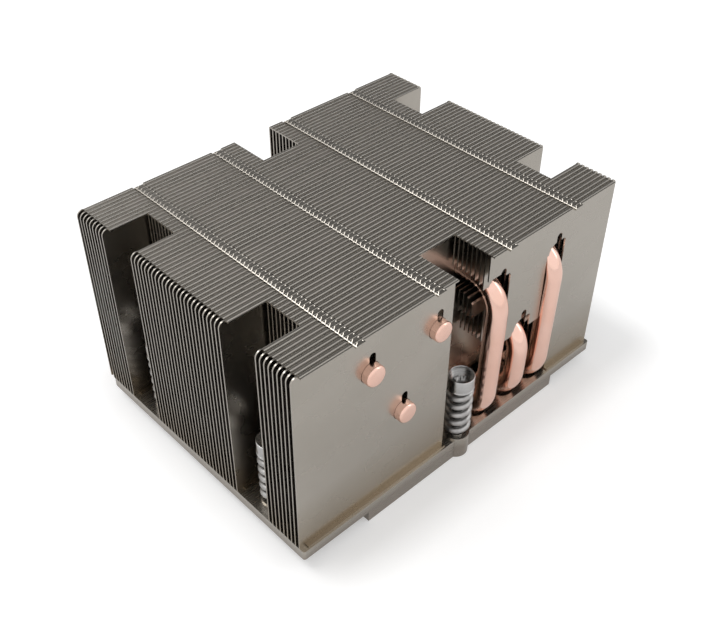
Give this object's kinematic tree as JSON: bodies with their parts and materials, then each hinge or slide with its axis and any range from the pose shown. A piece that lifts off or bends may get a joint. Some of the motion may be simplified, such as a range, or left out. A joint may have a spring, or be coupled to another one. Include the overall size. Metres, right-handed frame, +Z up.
{
  "type": "passive server cpu heatsink",
  "caption": "Passive heatsink for a server processor: stacked sheet fins with driver wells, bent copper heat pipes, a machined base with a pedestal, and captive spring screws at its edges.",
  "frame": {"origin": "centre of the fin pack at the height of the pedestal's contact face", "axes": "X along the air flow and the fins, Y across the stack of fins, +Z up from the processor"},
  "size_m": [0.118, 0.0925, 0.0662],
  "materials": {
    "base": "machined, nickel plated",
    "fin": "satin, nickel plated",
    "pipe": "bright copper",
    "screw": "turned",
    "clip": "stamped",
    "spring": "drawn wire"
  },
  "bodies": {
    "root": {"base_plate": "base", "heat_pipe_front_inner": "pipe", "heat_pipe_front_middle": "pipe", "heat_pipe_front_outer": "pipe", "heat_pipe_rear_inner": "pipe", "heat_pipe_rear_middle": "pipe", "heat_pipe_rear_outer": "pipe", "fins_near_front": "fin", "fins_near_rear": "fin", "fins_near_notch": "fin", "fins_far_notch": "fin", "fins_far_front": "fin", "fins_far_rear": "fin", "center_fin_01": "fin", "center_fin_02": "fin", "center_fin_03": "fin", "center_fin_04": "fin", "center_fin_05": "fin", "center_fin_06": "fin", "center_fin_07": "fin", "center_fin_08": "fin", "center_fin_09": "fin", "center_fin_10": "fin", "center_fin_11": "fin", "center_fin_12": "fin", "center_fin_13": "fin", "center_fin_14": "fin", "center_fin_15": "fin", "center_fin_16": "fin", "center_fin_17": "fin", "center_fin_18": "fin", "center_fin_19": "fin", "center_fin_20": "fin", "center_fin_21": "fin", "center_fin_22": "fin", "center_fin_23": "fin", "center_fin_24": "fin", "center_fin_25": "fin", "spring_front_near": "spring", "spring_rear_near": "spring", "spring_middle_near": "spring", "spring_front_far": "spring", "spring_rear_far": "spring", "spring_middle_far": "spring"},
    "captive_screw_front_near": {"screw_front_near": "screw", "clip_front_near": "clip"},
    "captive_screw_rear_near": {"screw_rear_near": "screw", "clip_rear_near": "clip"},
    "captive_screw_middle_near": {"screw_middle_near": "screw", "clip_middle_near": "clip"},
    "captive_screw_front_far": {"screw_front_far": "screw", "clip_front_far": "clip"},
    "captive_screw_rear_far": {"screw_rear_far": "screw", "clip_rear_far": "clip"},
    "captive_screw_middle_far": {"screw_middle_far": "screw", "clip_middle_far": "clip"}
  },
  "joints": [
    {"name": "screw_travel_front_near", "type": "slide", "parent": "root", "child": "captive_screw_front_near", "axis": [0, 0, -1], "range_m": [0, 0.005], "stiffness_N_per_m": 3500, "deforming": ["spring_front_near"]},
    {"name": "screw_travel_rear_near", "type": "slide", "parent": "root", "child": "captive_screw_rear_near", "axis": [0, 0, -1], "range_m": [0, 0.005], "stiffness_N_per_m": 3500, "deforming": ["spring_rear_near"]},
    {"name": "screw_travel_middle_near", "type": "slide", "parent": "root", "child": "captive_screw_middle_near", "axis": [0, 0, -1], "range_m": [0, 0.005], "stiffness_N_per_m": 3500, "deforming": ["spring_middle_near"]},
    {"name": "screw_travel_front_far", "type": "slide", "parent": "root", "child": "captive_screw_front_far", "axis": [0, 0, -1], "range_m": [0, 0.005], "stiffness_N_per_m": 3500, "deforming": ["spring_front_far"]},
    {"name": "screw_travel_rear_far", "type": "slide", "parent": "root", "child": "captive_screw_rear_far", "axis": [0, 0, -1], "range_m": [0, 0.005], "stiffness_N_per_m": 3500, "deforming": ["spring_rear_far"]},
    {"name": "screw_travel_middle_far", "type": "slide", "parent": "root", "child": "captive_screw_middle_far", "axis": [0, 0, -1], "range_m": [0, 0.005], "stiffness_N_per_m": 3500, "deforming": ["spring_middle_far"]}
  ]
}
